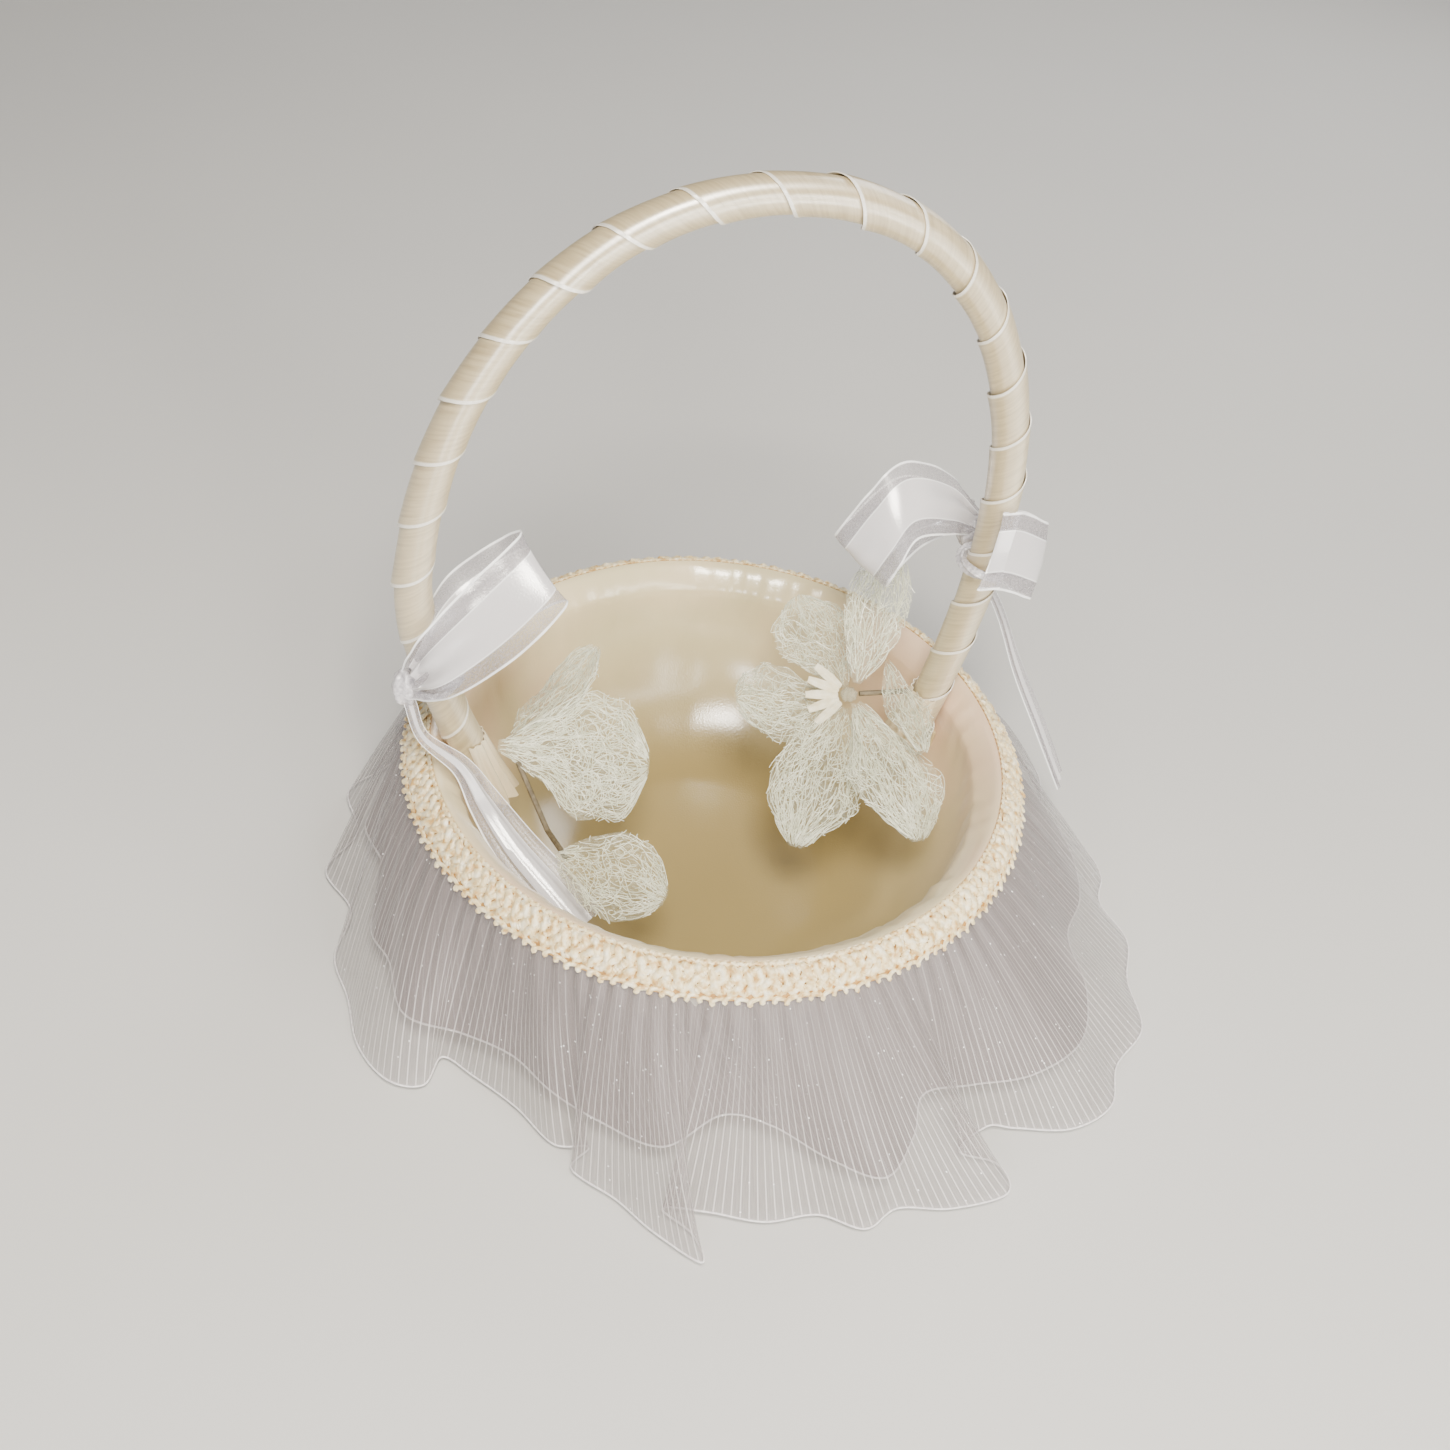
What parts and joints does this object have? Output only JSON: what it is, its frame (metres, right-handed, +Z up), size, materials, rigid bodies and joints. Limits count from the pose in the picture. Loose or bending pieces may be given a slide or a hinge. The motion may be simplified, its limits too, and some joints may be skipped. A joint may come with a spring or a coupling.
{
  "type": "flower girl basket",
  "caption": "Satin-lined round basket with a braided rim, gathered organza skirt, ribbon-wrapped hoop handle, sheer bows and fibre flowers.",
  "frame": {"origin": "centre of the flat underside of the base board, which the basket stands on", "axes": "+Z up through the middle of the bowl; X runs under the hoop handle, +X towards the foot with the two-looped bow"},
  "size_m": [0.2841, 0.2755, 0.2589],
  "materials": {
    "champagne_satin": "glossy woven satin",
    "wadding": "matt polyester wadding",
    "pressed_board": "matt pressed paper board",
    "gimp_braid": "looped rayon braid",
    "cotton_tape": "plain woven tape",
    "organza": "sheer striped organza",
    "moulded_hoop": "moulded hoop",
    "hot_melt_glue": "set hot melt glue",
    "organza_ribbon": "sheer ribbon with a satin stripe",
    "fibre_mesh": "pressed fibre mesh",
    "green_wire": "coated florist wire",
    "cream_paper": "folded flower paper"
  },
  "bodies": {
    "basket": {"base_board": "pressed_board", "bowl_cover": "champagne_satin", "bowl_lining": "champagne_satin", "bowl_padding": "wadding", "bowl_shell": "pressed_board", "handle_core": "moulded_hoop", "handle_wrap": "champagne_satin", "inner_ruffle": "organza", "left_bow_knot": "organza_ribbon", "left_bow_loop": "organza_ribbon", "left_bow_tail": "organza_ribbon", "left_bow_tie": "organza_ribbon", "left_flower_hub": "fibre_mesh", "left_flower_stem": "green_wire", "left_glue_pad": "hot_melt_glue", "left_handle_cuff": "champagne_satin", "left_petal_1": "fibre_mesh", "left_petal_2": "fibre_mesh", "left_petal_3": "fibre_mesh", "outer_ruffle": "organza", "right_bow_knot": "organza_ribbon", "right_bow_large_loop": "organza_ribbon", "right_bow_small_loop": "organza_ribbon", "right_bow_tie": "organza_ribbon", "right_flower_hub": "fibre_mesh", "right_flower_stem": "green_wire", "right_glue_pad": "hot_melt_glue", "right_handle_cuff": "champagne_satin", "right_petal_1": "fibre_mesh", "right_petal_2": "fibre_mesh", "right_petal_3": "fibre_mesh", "right_petal_4": "fibre_mesh", "right_petal_5": "fibre_mesh", "right_petal_6": "fibre_mesh", "right_stamen_1": "cream_paper", "right_stamen_2": "cream_paper", "right_stamen_3": "cream_paper", "right_stamen_4": "cream_paper", "right_stamen_5": "cream_paper", "rim_braid": "gimp_braid", "skirt_header_tape": "cotton_tape"},
    "ribbon_tail": {"right_bow_tail": "organza_ribbon"}
  },
  "joints": [
    {"name": "ribbon_tail_swing", "type": "hinge", "parent": "basket", "child": "ribbon_tail", "pos_m": [0.08561, 0.02723, 0.1182], "axis": [-1, 0, 0], "range_deg": [0, 30]}
  ]
}
